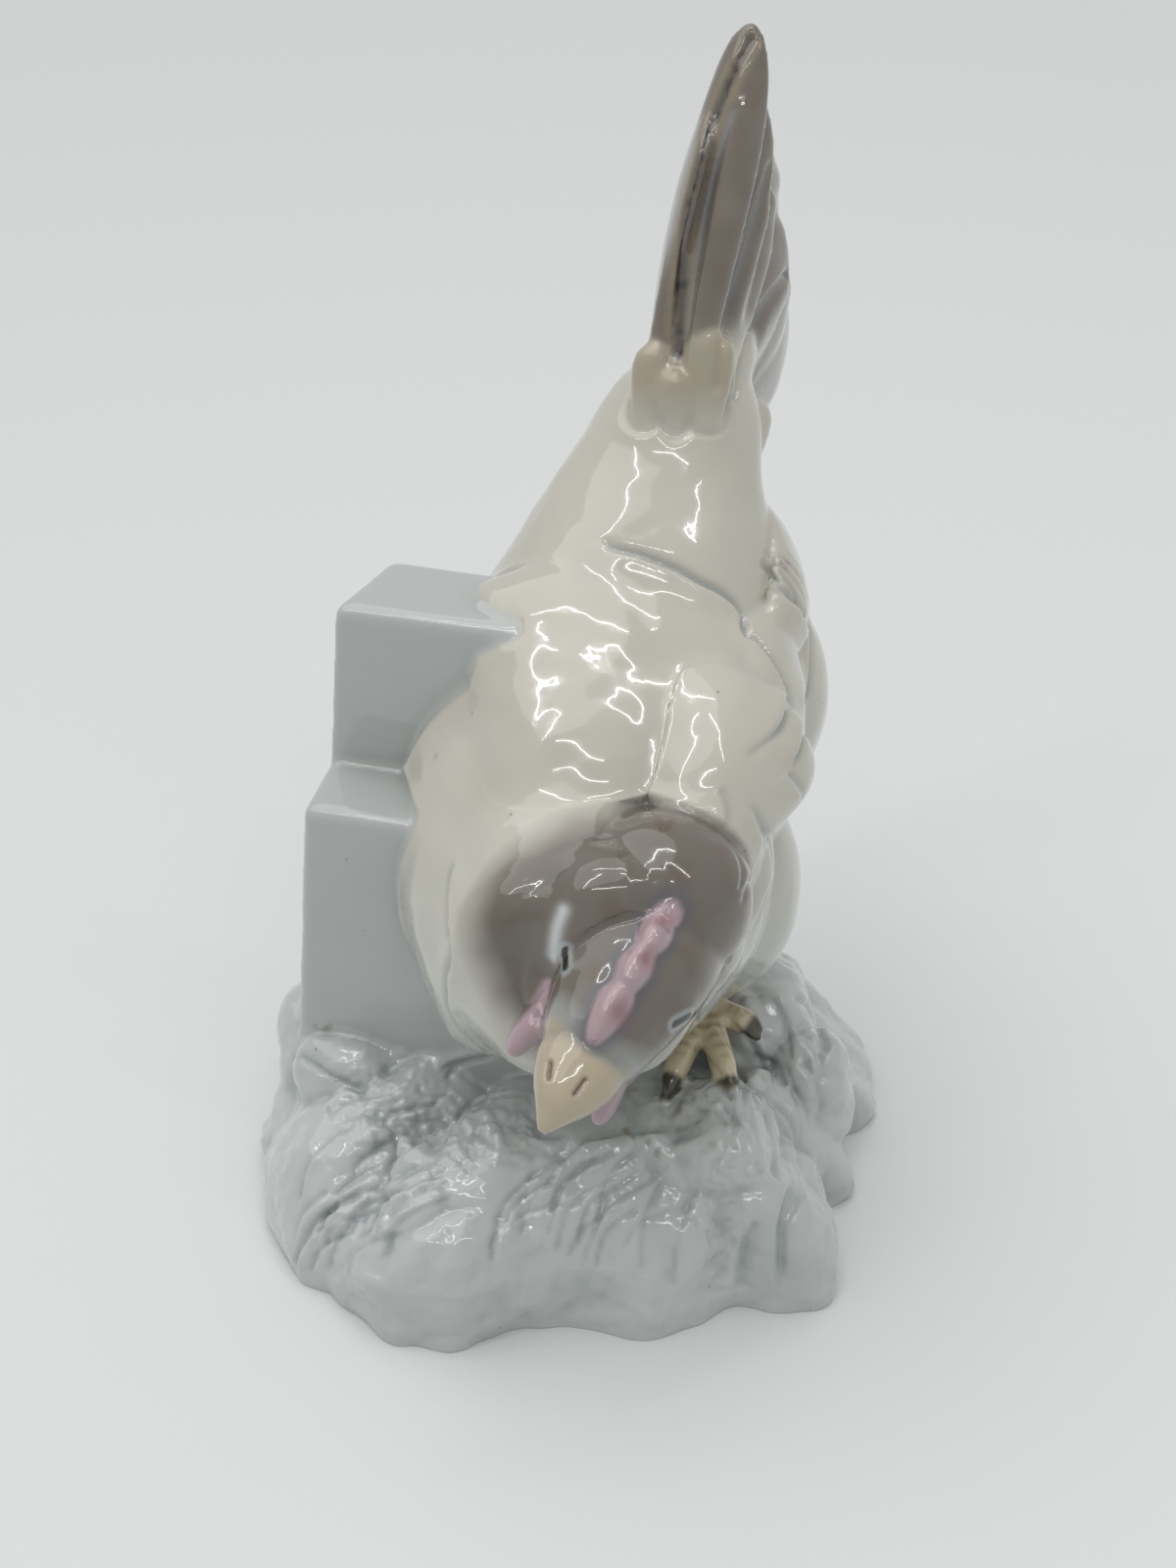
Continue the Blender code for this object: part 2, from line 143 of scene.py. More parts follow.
def loft(forms, stations, up, sides=40, steps=8):
    """A closed skin over stations: x, y, z, half width, rise, drop."""
    rows = spline(stations, steps)
    centres = [Vector(row[:3]) for row in rows]
    rings = []
    for i, row in enumerate(rows):
        along = centres[min(i + 1, len(rows) - 1)] - centres[max(i - 1, 0)]
        side = Vector(up).cross(along).normalized()
        rise = along.cross(side).normalized()
        ring = []
        for k in range(sides):
            angle = 2 * math.pi * k / sides
            reach = max(row[4 if math.sin(angle) > 0 else 5], 0.05) * math.sin(angle)
            width = max(row[3], 0.05) * math.cos(angle)
            ring.append(centres[i] + side * width + rise * reach)
        rings.append(ring)
    skin(forms, rings)


def ball(forms, centre, radii, turn=(0, 0, 0)):
    """An ellipsoid, turned in degrees about X, then Y, then Z."""
    place = Matrix.Translation(Vector(centre) * MM)
    for axis, degrees in zip("ZYX", reversed(turn)):
        place = place @ Matrix.Rotation(math.radians(degrees), 4, axis)
    block = bmesh.new()
    bmesh.ops.create_uvsphere(block, u_segments=48, v_segments=32, radius=MM)
    block.transform(place @ Matrix.Diagonal((*radii, 1)))
    absorb(forms, block)


def leaf(forms, root, tip, face, width, thick, bow=0.0, root_width=0.55, round_tip=0.75):
    """A feather: a bowed blade whose flat side looks along face."""
    root, tip, face = Vector(root), Vector(tip), Vector(face).normalized()
    rows = []
    for along, wide, deep in (
        (0.0, root_width * 0.6, 0.7), (0.05, root_width, 1.0),
        (0.35, 0.5 + 0.5 * root_width, 1.0), (0.65, 1.0, 0.95),
        (0.85, round_tip + 0.1, 0.85), (0.95, round_tip * 0.62, 0.65),
        (1.0, round_tip * 0.2, 0.3),
    ):
        at = root.lerp(tip, along) + face * bow * math.sin(math.pi * along)
        rows.append((*at, width / 2 * wide, thick / 2 * deep, thick / 2 * deep))
    loft(forms, rows, face, sides=20)


# %% [markdown]
# The rock is porcelain modelled as weathered stone: a plateau, bulging sides, buttresses and
# boulders. A noise texture could displace a plain block, but the silhouette would be anyone's
# rock. The outline here was measured, and seeded noise only wears it.

# %% Rock
ROCK_TOP = 32.0
ROCK_ROUGHNESS = 3.2  # how far weather moves the stone, mm
FOOT_TRIM = 4.0  # how far the rock runs on below the table before it is cut flat
ROCK_MIDDLE = Vector((0, 2, 0))
ROCK_OUTLINE = (  # x and y on the table, height of the shoulder above them
    (-56, -30, 18), (-51, -41, 16), (-42, -49, 14), (-34, -57.5, 16), (-22, -61, 17),
    (-10, -56, 18), (3, -55, 20), (14, -57.5, 19), (23, -54, 18), (30, -49, 20),
    (40, -50.5, 20), (49.5, -46, 18), (50.5, -31, 16), (50, -26, 13), (55, -21, 12),
    (54.5, -11, 12), (53.5, -4.5, 12), (61, 0, 11), (62.5, 10, 9), (61, 20, 7),
    (57, 31, 7), (48, 41, 10), (37, 49, 15), (24, 54, 18), (8, 57, 19), (-10, 54, 20),
    (-28, 52, 20), (-42, 45, 20), (-52, 31, 21), (-55, 14, 21), (-58, -1, 19),
    (-59, -16, 16),
)
BUTTRESSES = (  # x and y at the foot, height, radius
    (-51, -38, 25, 7), (-33, -54, 27, 8), (-21, -57, 24, 6), (-6, -53, 29, 7),
    (13, -54, 29, 8), (27, -49, 29, 6), (41, -47, 30, 8), (52, -20, 24, 7),
    (59, 8, 16, 7), (22, 52, 25, 9), (-12, 52, 28, 10),
    (-40, 43, 30, 9), (-54, 2, 31, 8), (-52, -17, 27, 8),
)
BOULDERS = (  # centre, radii, turn about Z
    ((37, 10, 20), (13, 18, 13), -12), ((48, -6, 16), (9, 12, 12), 20),
    ((-36, 4, 20), (22, 20, 15), 0), ((-44, -10, 22), (10, 8, 11), -30),
    ((30, -30, 22), (12, 14, 11), 10), ((-14, -36, 20), (16, 12, 11), 0),
    ((24, 33, 20), (17, 13, 13), 0), ((-22, 34, 24), (22, 14, 14), 0),
)
STRETCH = 123.5 / 121.5  # the outline's width as measured over its width as drawn
drawn = [[x * STRETCH, y, shoulder] for x, y, shoulder in ROCK_OUTLINE]
outline = spline(drawn[-2:] + drawn + drawn[:2], 4)[8:-5]
rings = []
for inward, raised in (
    (1.0, None), (1.0, 0.0), (1.005, 0.2), (1.0, 0.4), (0.975, 0.75), (0.93, 1.0),
    (0.87, 1.2), (0.8, 1.35), (0.7, 1.5), (0.58, 1.6), (0.45, 1.7), (0.25, 1.75),
):
    ring = []
    for x, y, shoulder in outline:
        at = ROCK_MIDDLE.lerp(Vector((x, y, 0)), inward)
        level = -FOOT_TRIM if raised is None else min(shoulder * raised, ROCK_TOP - 1.5)
        ring.append(Vector((at.x, at.y, level)))
    rings.append(ring)
stone = group("rock")
skin(stone, rings)
for x, y, height, radius in BUTTRESSES:
    rows = []
    for upward, size in ((-0.15, 1.0), (0.3, 1.0), (0.7, 0.85), (1.0, 0.45)):
        foot = Vector((x * STRETCH, y, 0))
        at = foot.lerp(ROCK_MIDDLE, 0.1 + 0.22 * max(upward, 0) ** 2)
        rows.append((at.x, at.y, height * upward, radius * size, radius * size, radius))
    loft(stone, rows, (-y, x, 0))
for centre, radii, turn in BOULDERS:
    ball(stone, centre, radii, (0, 0, turn))
stone.normal_update()
for vert in stone.verts:
    grain = vert.co / (14.0 * MM)
    sway = noise.noise_vector(grain * 0.6) * 0.5 + noise.noise_vector(grain) * 0.5
    crease = abs(noise.noise(grain * 1.3 + Vector((7, 0, 0))))
    vert.co += (sway + vert.normal * crease) * ROCK_ROUGHNESS * MM
print("rock sketched,", len(stone.faces), "faces")

# %% [markdown]
# The wall is two plain courses with worn edges. Bevelled boxes are enough: what makes them
# porcelain is the slow wave that firing leaves in a flat face, and that comes with the clay.

# %% Wall
WALL_TURN = math.radians(-14)
WALL_DRAFT = 0.09  # how far the left face leans in, for each mm of height
WALL_EDGE = 2.2  # radius of the worn edges, mm
for corner, size, splay in (
    (Vector((-54.5, -5.6, 22.0)), Vector((52.0, 36.0, 64.0)), 0.0),
    (Vector((-46.5, 9.5, 75.0)), Vector((40.0, 20.0, 45.0)), 5.0),
):
    block = bmesh.new()
    bmesh.ops.create_cube(block, size=1.0)
    for vert in block.verts:
        left, top, rear = vert.co.x < 0, vert.co.z > 0, vert.co.y > 0
        local = Matrix.Diagonal(size) @ (vert.co + Vector((0.5, 0.5, 0.5)))
        local.x += WALL_DRAFT * size.z * (left and top) + splay * (left and rear)
        vert.co = (Matrix.Rotation(WALL_TURN, 4, "Z") @ local + corner) * MM
    bmesh.ops.bevel(block, geom=block.edges[:], offset=WALL_EDGE * MM, segments=4, profile=0.5,
                    affect="EDGES")
    absorb(group("wall"), block)

# %% [markdown]
# The hen's body is one mass from breast to saddle. On the real piece the feathers are only
# hinted at: a cape with a scalloped edge, coverts, and thin stacked lines where the flight
# feathers end. So the volumes are lofts and balls, and the edges are pressed in afterwards.

# %% Body
TRUNK = (
    (25.5, 50, 149, 9, 6, 5), (23.5, 46, 143, 14, 10, 9), (20.6, 42, 134, 17, 15, 15),
    (17.9, 38, 123, 21.5, 21, 22), (13.5, 30, 106, 28, 28, 30),
    (7.5, 16, 89, 34.5, 32, 33), (3.7, -1, 75, 34, 32, 31), (2.5, -20, 70, 31, 27, 27),
    (4, -34, 71, 25, 21, 21),
)
HACKLE = (
    (3, -14, 72, 31, 27, 24), (4, -25, 72, 28, 27, 24), (5, -35, 73, 26, 26, 23),
    (6, -42, 73, 22, 21, 20), (8, -48, 74, 15, 14, 14), (9, -51, 76, 8, 8, 8),
)
LEFT_HIP, RIGHT_HIP = Vector((27.5, -3, 40)), Vector((-10, 14, 40))
flesh = group("hen_body")
loft(flesh, TRUNK, (0, -0.6, 0.8), sides=72)
loft(flesh, HACKLE, (0.1, 0, 1), sides=72)
leaf(flesh, (0, -19, 88), (13, 20, 116), (0.1, -0.6, 0.75), 54, 25, bow=3, round_tip=0.9)
leaf(flesh, (20, -26, 88), (35, 3, 104), (0.6, -0.5, 0.6), 32, 16, bow=4, round_tip=0.9)
for centre, radii, turn in (
    ((12, 22, 78), (30, 30, 34), (-30, 0, 6)), ((4, -10, 68), (34, 27, 28), (10, 0, 6)),
    ((7, 8, 44), (26, 22, 20), (0, 0, 6)), ((6, -35, 76), (26.5, 13, 25), (18, 0, 8)),
    ((33, 10, 92), (12, 25, 21), (42, 0, -8)), ((26, -25, 86), (5.5, 6, 10), (15, 0, 8)),
    ((29.5, -19, 86), (5.5, 8, 12), (15, 0, 8)), ((31.5, -11, 77), (7, 11, 14), (15, 0, 8)),
    ((-21, -12, 72), (9, 16, 18), (15, 0, 8)), ((-15, -28, 62), (9, 12, 15), (15, 0, 8)),
    ((38, 34, 86), (13.5, 18, 22), (10, 0, 10)),
):
    ball(flesh, centre, radii, turn)
for k in range(4):
    leaf(flesh, (36 - 0.5 * k, 9 + k, 104 - 3 * k), (36.5, 54 - 2 * k, 117 - 6 * k),
         (0.92, -0.15, 0.35), 20, 4, bow=7.5 - 0.9 * k)
for hip, side in ((LEFT_HIP, 1), (RIGHT_HIP, -1)):
    ball(flesh, hip + Vector((side * 1.5, 8, 20)), (16.5, 21, 24), (12, 0, 0))

# %% [markdown]
# The head has axes of its own: forward to the beak, left and up. With them a comb or a wattle
# is placed as a modeller would think of it, and the turned and lowered head costs nothing.

# %% Head
HEAD_CENTRE = Vector((10.4, -52.0, 80.5))
HEAD_FORWARD = Vector((-0.39, -0.91, -0.10)).normalized()
HEAD_LEFT = Vector((0.877, -0.275, -0.393)).normalized()
HEAD_UP = HEAD_FORWARD.cross(HEAD_LEFT)
HALF = 13.0  # half of the skull's width
COMB_HEIGHT, COMB_LOBE, COMB_THICKNESS = 7.8, 8.97, 5.6
WATTLE_WIDTH, WATTLE_THICKNESS = 11.0, 5.2


def on_head(forward, left, rise):
    """A point on the head's own axes, from between the eyes."""
    return HEAD_CENTRE + HEAD_FORWARD * forward + HEAD_LEFT * left + HEAD_UP * rise


loft(group("hen_head"), (
    (*on_head(-27, 0, -6), 8, 8, 8), (*on_head(-20, 0, -4), HALF * 0.95, 12, 12),
    (*on_head(-11, 0, -1), HALF * 1.03, 13, 14), (*on_head(-3, 0, 0), HALF * 0.98, 11.5, 13),
    (*on_head(5, 0, -2), HALF * 0.84, 9.5, 11), (*on_head(12, 0, -4), HALF * 0.68, 7.5, 8),
    (*on_head(16, 0, -5), HALF * 0.5, 5, 5),
), HEAD_UP)
ball(group("hen_head"), on_head(-20, -3, 2), (17, 16.15, 16.15))
loft(group("beak"), (
    (*on_head(11, 0, -4), HALF * 0.6, 6.8, 7.2), (*on_head(17, 0, -5), HALF * 0.58, 6, 6),
    (*on_head(22, 0, -6), HALF * 0.42, 4.4, 4.6),
    (*on_head(25, 0, -7.5), HALF * 0.24, 2.8, 2.8), (*on_head(28, 0, -9), 1.0, 1.0, 1.0),
), HEAD_UP)
for forward, rise in ((-10, 6.5), (-4, 6), (2.5, 3.5), (8.5, 0)):
    leaf(group("comb"), on_head(forward, -0.5, rise),
         on_head(forward - 0.5, -0.5, rise + COMB_HEIGHT),
         HEAD_LEFT, COMB_LOBE, COMB_THICKNESS, root_width=0.95, round_tip=0.9)
loft(group("comb"), [  # the ridge that joins the comb's lobes
    (*on_head(forward, -0.5, rise), wide, 3.4, 4.5) for forward, rise, wide in (
        (-13, 9.5, 1.2), (-11, 11.3, 2.5), (-7, 10.4, 2.0), (-4, 11.0, 2.6), (-1, 9.4, 2.1),
        (2.5, 8.6, 2.8), (5.5, 6.2, 2.2), (8.5, 5.4, 2.9), (12, 2.6, 2.2), (13.5, 1.0, 1.0))
], HEAD_UP)
for side, beside, lower, before, long in ((-1, 9.5, 1, 2, 8.5), (1, 6, -4, 0, 12)):
    for forward, drop, part in ((6, -8, 1.0), (0, -6, 0.8)):
        leaf(group("wattles"), on_head(forward + before, side * beside, drop + lower),
             on_head(forward + before + 1, side * (beside + 2), drop + lower - long * part),
             HEAD_LEFT, WATTLE_WIDTH, WATTLE_THICKNESS, root_width=0.6, round_tip=0.85)

# %% [markdown]
# The tail stands as a closed fan: a ridge pair with a slot between, and shingled pairs behind
# it. Each feather is one leaf, given by its root and tip in the plane of the fan, so the
# scalloped rear edge of the fan is simply where the tips lie.

# %% Tail
TAIL_ROOT = Vector((22.5, 43.0, 144.0))
TAIL_LEAN = Vector((0.1, 0.08, 0.99)).normalized()
TAIL_BACKWARD = Vector((0.42, 0.91, 0.0)).normalized()
FEATHER_THICKNESS = 4.5
outward = Vector((TAIL_BACKWARD.y, -TAIL_BACKWARD.x, 0))


def on_tail(above, behind, beside):
    """A point of the fan, from the tail's root."""
    return TAIL_ROOT + TAIL_LEAN * above + TAIL_BACKWARD * behind + outward * beside


fan = group("tail")
for low, near, high, far, width, offset, opening in (
    (12, -7, 66, 9, 8, 2.4, 1.0), (4, -1, 54, 13, 12, 2.4, 0.5),
    (3, 0, 39, 18, 15, 2.6, 0.4), (2, 2, 24, 33, 20, 3.0, 0.4),
    (0, 5, 12, 40, 18, 3.2, 0.4), (-2, 9, -2, 46, 24, 3.2, 0.3),
    (-4, 8, -14, 40, 18, 3.0, 0.3), (-6, 6, -24, 34, 18, 2.8, 0.2),
):
    for side in (-1, 1):
        leaf(fan, on_tail(low, near, side * (offset + 1.5)),
             on_tail(high, far, side * offset * 0.8), outward * side - TAIL_BACKWARD * opening,
             width, FEATHER_THICKNESS, bow=1.5, root_width=0.6)
leaf(fan, on_tail(6, -2, -5.4), on_tail(54, 4, -3.5), -outward - TAIL_BACKWARD * 0.5, 18,
     FEATHER_THICKNESS, bow=1.5, root_width=0.6)
leaf(fan, on_tail(2, 1, 0), on_tail(62, 10.5, 0), outward, 15, FEATHER_THICKNESS * 1.5)
leaf(fan, on_tail(10, -5.5, 0), on_tail(67.5, 9.4, 0), outward, 8, 7.5, root_width=0.8,
     round_tip=0.95)  # keeps the slot shallow and the tip in one
fan_turn = math.degrees(math.atan2(TAIL_BACKWARD.y, TAIL_BACKWARD.x)) - 90
ball(fan, on_tail(20, 18, 0), (4, 19, 25), (-20, 0, fan_turn))
ball(flesh, TAIL_ROOT + Vector((3, 5, 6)), (9, 13, 16), (-20, 0, -25))
for root, tip, width in (
    ((15.0, 35.5, 142), (16.5, 38.5, 158.5), 8), ((20, 34.5, 141), (20.0, 34.5, 155), 7),
    ((25.5, 34.5, 143), (26.5, 37, 162), 9), ((33, 44, 128), (36.5, 50, 142), 8),
):
    leaf(group("coverts"), root, tip, (0.1, -0.8, 0.5), width, 7, root_width=0.8)

# %% [markdown]
# Feet: a shank under each thigh and three toes that grip the rock. Only the left foot shows
# from the front, but both are there, because the piece can be turned round.

# %% Feet
toes = []
for side, hip, reach in ((1, LEFT_HIP, 25), (-1, RIGHT_HIP, 22)):
    loft(group("feet"), (
        (hip.x - side, hip.y + 6, hip.z + 10, 8, 8, 8),
        (hip.x - side * 0.5, hip.y + 2, hip.z + 2, 5, 5, 5),
        (hip.x, hip.y, ROCK_TOP + 4, 4, 4, 4), (hip.x, hip.y, ROCK_TOP - 3, 4, 4, 4),
    ), (0, -1, 0))
    start = Vector((hip.x, hip.y, ROCK_TOP + 3))
    for spread, length in ((-20, reach), (9, reach), (62, reach * 0.5)):
        way = Matrix.Rotation(math.radians(spread), 3, "Z") @ Vector((0.0, -length, 0.0))
        loft(group("feet"), (
            (*start, 2.8, 2.8, 3), (*(start + way * 0.4), 2.66, 2.66, 3),
            (*(start + way * 0.75 - Vector((0, 0, 0.5))), 2.52, 2.24, 3),
            (*(start + way - Vector((0, 0, 2.5))), 0.9, 0.9, 1.5),
        ), (0, 0, 1))
        toes.append((start, way))
print("parts of the figure:", {name: len(forms.faces) for name, forms in groups.items()})

# %% [markdown]
# A mould and a glaze round every edge. A voxel remesh melts the overlapping forms into one
# skin, and a few smoothing passes do what the glaze does as it flows. Then the casting is cut
# flat at the table, and the head gets four times the faces, as it carries the finest work.

# %% Melting
GRAIN = 0.69  # mm, the size of a face; keeps each piece under 200,000 triangles
SOFTENING = 7  # smoothing passes
FINE_REACH = 25  # mm round the middle of the head that get the finer faces
everything = bmesh.new()
for forms in groups.values():
    bmesh.ops.recalc_face_normals(forms, faces=forms.faces[:])
    absorb(everything, forms)
sketch = bpy.data.meshes.new("sketch")
everything.to_mesh(sketch)
casting = bpy.data.objects.new("casting", sketch)
scene.collection.objects.link(casting)
remesh = casting.modifiers.new("melt", "REMESH")
remesh.mode = "VOXEL"
remesh.voxel_size = GRAIN * MM
soften = casting.modifiers.new("soften", "SMOOTH")
soften.iterations = SOFTENING
bpy.context.view_layer.update()
melted = bmesh.new()
melted.from_object(casting, bpy.context.evaluated_depsgraph_get())
bpy.data.objects.remove(casting)
bmesh.ops.bisect_plane(melted, geom=melted.verts[:] + melted.edges[:] + melted.faces[:],
                       plane_co=(0, 0, 0), plane_no=(0, 0, 1), clear_inner=True)
middle = on_head(4, 0, 0) * MM
fine = [edge for edge in melted.edges
        if all((vert.co - middle).length < FINE_REACH * MM for vert in edge.verts)]
bmesh.ops.subdivide_edges(melted, edges=fine, cuts=1, use_grid_fill=True)
fine = [vert for vert in melted.verts if (vert.co - middle).length < FINE_REACH * MM]
for _ in range(3):
    bmesh.ops.smooth_vert(melted, verts=fine, factor=0.5, use_axis_x=True, use_axis_y=True,
                          use_axis_z=True)
print("casting", len(melted.faces), "faces")

# %% [markdown]
# A slip casting stands on a ground rim, with the underside sunk a little and a vent that lets
# air out in the kiln. Nobody sees it on the shelf, but whoever lifts the piece looks there.

# %% Underside
RIM = 7.0  # width of the ground rim, mm
RECESS = 2.2  # how far the underside lies above it
VENT_RADIUS, VENT_DEPTH = 3.0, 6.0


def loop(points, level):
    """A closed line of new points, with its edges."""
    verts = [melted.verts.new((x * MM, y * MM, level * MM)) for x, y in points]
    return verts, [melted.edges.new((a, b)) for a, b in zip(verts, verts[1:] + verts[:1])]


def wall_between(lower, upper):
    """Closes the strip between two equal loops of points."""
    for k in range(len(lower)):
        j = (k + 1) % len(lower)
        melted.faces.new((lower[k], lower[j], upper[j], upper[k]))


inner = []
for x, y, _ in outline[::2]:
    out = Vector((x, y, 0)) - ROCK_MIDDLE
    at = ROCK_MIDDLE + out * (1 - RIM / out.length)
    inner.append((at.x, at.y))
turns = [2 * math.pi * k / 24 for k in range(24)]
hole = [(VENT_RADIUS * math.cos(a), VENT_RADIUS * math.sin(a)) for a in turns]
rim = [edge for edge in melted.edges if edge.is_boundary]
before = len(melted.faces)
low, low_edges = loop(inner, 0.0)
bmesh.ops.triangle_fill(melted, edges=rim + low_edges, normal=(0, 0, -1))
high, high_edges = loop(inner, RECESS)
wall_between(low, high)
mouth, mouth_edges = loop(hole, RECESS)
bmesh.ops.triangle_fill(melted, edges=high_edges + mouth_edges, normal=(0, 0, -1))
end, _ = loop(hole, RECESS + VENT_DEPTH)
wall_between(mouth, end)
melted.faces.new(end)
bmesh.ops.recalc_face_normals(melted, faces=melted.faces[:])
print("underside", len(melted.faces) - before, "faces,",
      sum(not edge.is_manifold for edge in melted.edges), "open edges")

# %% [markdown]
# From here on the casting is worked as numbers: where each point lies, which way it faces and
# how far it is from each part of the figure. Tools then press along lines. The lines were
# measured in the picture and are laid on the surface from the camera, as a modeller copies a
# drawing onto the clay.

# %% Points
casting = bpy.data.meshes.new("casting")
melted.to_mesh(casting)
count = len(casting.vertices)


def column(source, name, width):
    """Reads one property of all items as rows of numbers."""
    flat = np.zeros(len(source) * width, np.float32)
    source.foreach_get(name, flat)
    return flat.reshape(-1, width).astype(float)


start = column(casting.vertices, "co", 3) / MM
normals = column(casting.vertex_normals, "vector", 3)
links = column(casting.edges, "vertices", 2).astype(int)
points = start.copy()
surface = BVHTree.FromBMesh(melted)
ends = links.ravel()
degree = np.maximum(np.bincount(ends, minlength=count), 1)


def even(values, passes):
    """Averages each point's value with its neighbours', some times over."""
    for _ in range(passes):
        around = np.bincount(ends, values[links[:, ::-1].ravel()], count) / degree
        values = (values + around) / 2
    return values


def gap_to(forms, reach=9.0):
    """How far each point is from a part of the figure, in mm."""
    tree = BVHTree.FromBMesh(forms)
    corners = np.array([vert.co[:] for vert in forms.verts]) / MM
    close = ((start > corners.min(0) - reach) & (start < corners.max(0) + reach)).all(1)
    found = np.full(count, reach)
    for i in np.nonzero(close)[0]:
        far = tree.find_nearest(Vector(start[i]) * MM, reach * MM)[3]
        found[i] = reach if far is None else far / MM
    return found


gaps = {name: gap_to(forms) for name, forms in groups.items()}
names = list(gaps)
owner = np.argmin(np.array([gaps[name] for name in names]), axis=0)
print({name: int((owner == i).sum()) for i, name in enumerate(names)})


def share(name, soft):
    """1 on a part of the figure and 0 off it, with a soft border of some mm."""
    others = np.min([gaps[other] for other in names if other != name], axis=0)
    return np.clip(0.5 + (others - gaps[name]) / (2 * soft), 0, 1)


def clouds(size, shift=0.0):
    """Noise from -1 to 1 at every point; size is the distance between clouds in mm."""
    return np.array([noise.noise(Vector(p) / size + Vector((shift, 0, 0))) for p in start])


# %% Pressing tools
PIXELS_PER_MM = 5.3  # about, in the picture


def lay(pixels, steps=8):
    """Lays a line of the picture on the casting."""
    line = []
    for u, v in spline(pixels, steps) if len(pixels) > 1 else pixels:
        hit = surface.ray_cast(EYE * MM, sight(u, v))[0]
        if hit and (not line or (hit / MM - line[-1]).length < 12):
            line.append(hit / MM)
    return line


def away(line, reach):
    """How far each point is from a line, up to a reach."""
    spots = np.array([spot[:] for spot in line])
    found = np.full(count, np.inf)
    close = ((start > spots.min(0) - reach) & (start < spots.max(0) + reach)).all(1)
    near = start[close]
    best = np.linalg.norm(near - spots[0], axis=1)
    for a, b in zip(spots, spots[1:]):
        along = np.clip((near - a) @ (b - a) / max((b - a) @ (b - a), 1e-9), 0, 1)
        best = np.minimum(best, np.linalg.norm(near - a - along[:, None] * (b - a), axis=1))
    found[close] = best
    return found


def press(line, width, depth, where=1.0):
    """Presses a soft groove, or raises a ridge with a negative depth. Gives the groove."""
    global points
    groove = np.exp(-(away(line, width * 3) / width) ** 2) if line else np.zeros(count)
    points = points - normals * (groove * depth * where)[:, None]
    return groove


def in_picture(spots):
    """Where points in mm are seen in the picture."""
    ahead = (spots - np.array(EYE)) @ np.array(
        [[1, 0, 0], [0, math.sin(TILT), math.cos(TILT)], [0, math.cos(TILT), -math.sin(TILT)]]).T
    return np.stack([PICTURE[0] / 2 + FOCUS * ahead[:, 0] / ahead[:, 2],
                     PICTURE[1] / 2 - FOCUS * ahead[:, 1] / ahead[:, 2]], axis=1)


seen = in_picture(start)


def lap(pixels, over, depth, lip=4.0, sharp=1.3):
    """Lets one layer end on another along a line; over is 1 where it lies on the line's right."""
    global points
    line = lay(pixels)
    gap = away(line, lip * 2.2)
    near = np.isfinite(gap)
    drawn = in_picture(np.array([spot[:] for spot in line]))
    best = np.full(near.sum(), np.inf)
    side, place = np.zeros(near.sum()), np.zeros(near.sum())
    for i, (a, b) in enumerate(zip(drawn, drawn[1:])):
        way, off = b - a, seen[near] - a
        t = np.clip(off @ way / max(way @ way, 1e-9), 0, 1)
        far = np.linalg.norm(off - t[:, None] * way, axis=1)
        closer = far < best
        best = np.where(closer, far, best)
        side = np.where(closer, np.sign(way[0] * off[:, 1] - way[1] * off[:, 0]) * far, side)
        place = np.where(closer, (i + t) / (len(drawn) - 1), place)
    signed = side * over / PIXELS_PER_MM
    upper = 0.5 + 0.5 * np.tanh(signed / 0.35)
    fade = np.clip(np.minimum(place, 1 - place) / 0.12, 0, 1)
    under = np.exp(-(gap[near] / sharp) ** 2) * (1 - upper) * fade
    height = np.zeros(count)
    height[near] = depth * (0.6 * np.exp(-(gap[near] / lip) ** 2) * upper * fade - under)
    points = points + normals * height[:, None]
    # the lower layer's side of the edge, painted darker later: pooled glaze and painted crease
    # shade
    pool_and_shade = np.zeros(count)
    pool_and_shade[near] = under
    return pool_and_shade


hollow_lines = np.zeros(count)  # where glaze pools and where crease shade is painted
ink_lines = np.zeros(count)  # where dark colour or dirt sits

# %% [markdown]
# The rock's surface is worked in three ways: crumbled grains, strokes like grass and leaves,
# and upright facets. The wall gets the slow wave of a fired slab.

# %% Working rock and wall
stony = share("rock", 0.8)
crumb = clouds(3.2) * 0.3 + clouds(1.6, 9) * 0.12
slab = clouds(12.0, 3) * 0.25
loose = stony * np.clip(start[:, 2] / 2.5, 0, 1) * (normals[:, 2] > -0.9)  # not the foot
points += normals * (loose * crumb + share("wall", 0.8) * slab)[:, None]
grit = np.abs(clouds(2.2, 5)) * 1.6 - 0.4
for spots, reach, coarse in (
    (((392, 1128), (440, 1150), (520, 1150)), 14, 1.2),  # crumbled earth before the wall
    (((722, 1235), (745, 1262)), 10, 0.7), (((735, 1190), (775, 1200)), 6, 0.9),  # pits
    (((660, 1120), (730, 1125)), 8, 0.7),
):
    gritty = np.clip(1 - away(lay(spots), reach + 1) / reach, 0, 1) * loose
    points += normals * (gritty * grit * coarse)[:, None]
chance = random.Random(3)


def strokes(many, across, down, reach, rise, depth, lip, sharp):
    """Curved strokes at irregular places within a window of the picture."""
    global hollow_lines
    for _ in range(many):
        u, v = chance.uniform(*across), chance.uniform(*down)
        out, up = reach * chance.uniform(0.6, 1.3), rise * chance.uniform(0.6, 1.3)
        line = ((u, v), (u + out * 0.25, v - up * 0.6), (u + out, v - up))
        pool_and_shade = lap(line, chance.choice((-1, 1)), depth * chance.uniform(0.5, 1), lip, sharp)
        hollow_lines = np.maximum(hollow_lines, pool_and_shade * 0.2)


